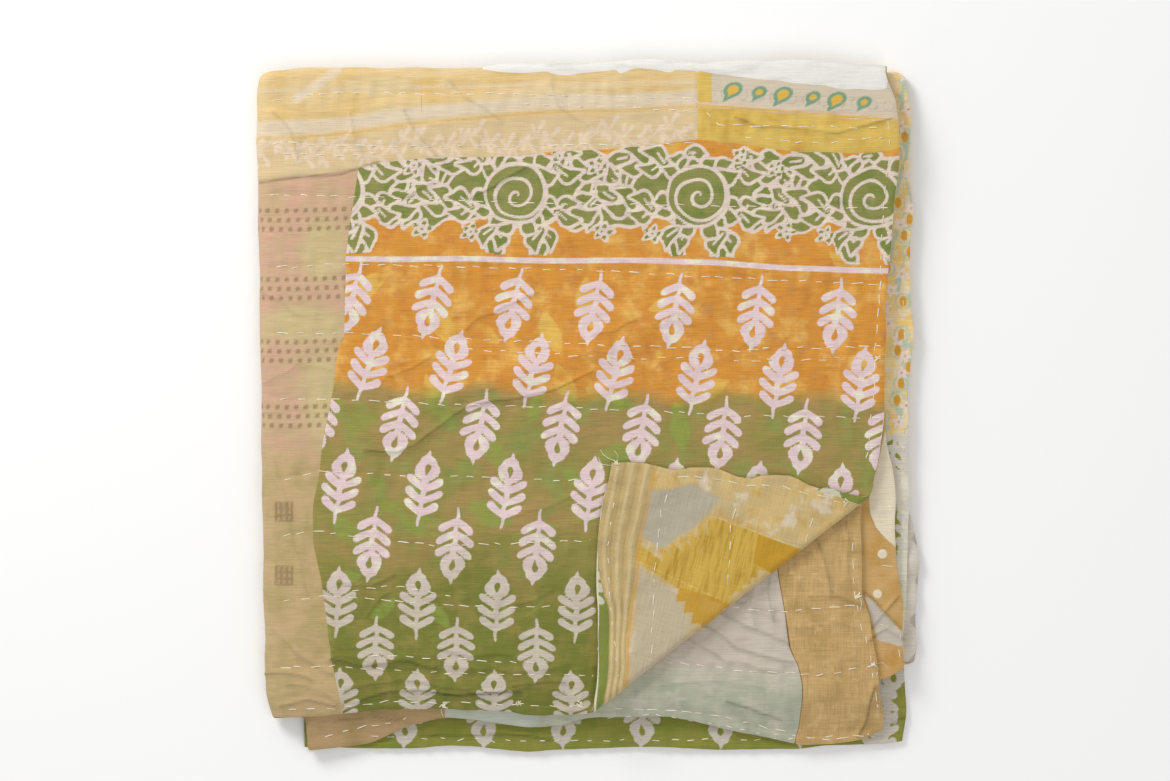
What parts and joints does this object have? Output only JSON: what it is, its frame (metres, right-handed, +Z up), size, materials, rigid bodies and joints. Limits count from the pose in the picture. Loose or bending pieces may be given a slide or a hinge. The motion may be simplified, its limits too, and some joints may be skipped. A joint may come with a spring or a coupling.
{
  "type": "folded sari quilt",
  "caption": "Patchwork sari throw of stitched cotton, folded into a flat square stack with the lower right corner of its top layer turned back.",
  "frame": {"origin": "centre of the footprint, on the surface that the folded quilt rests on", "axes": "+X towards the hems, away from the lengthwise fold; +Y towards the crosswise folds; +Z up through the layers"},
  "size_m": [0.5305, 0.5544, 0.0316],
  "materials": {
    "stitched_sari_cotton": "soft printed cotton, washed and matt"
  },
  "bodies": {
    "root": {"folded_quilt": "stitched_sari_cotton"}
  },
  "joints": []
}
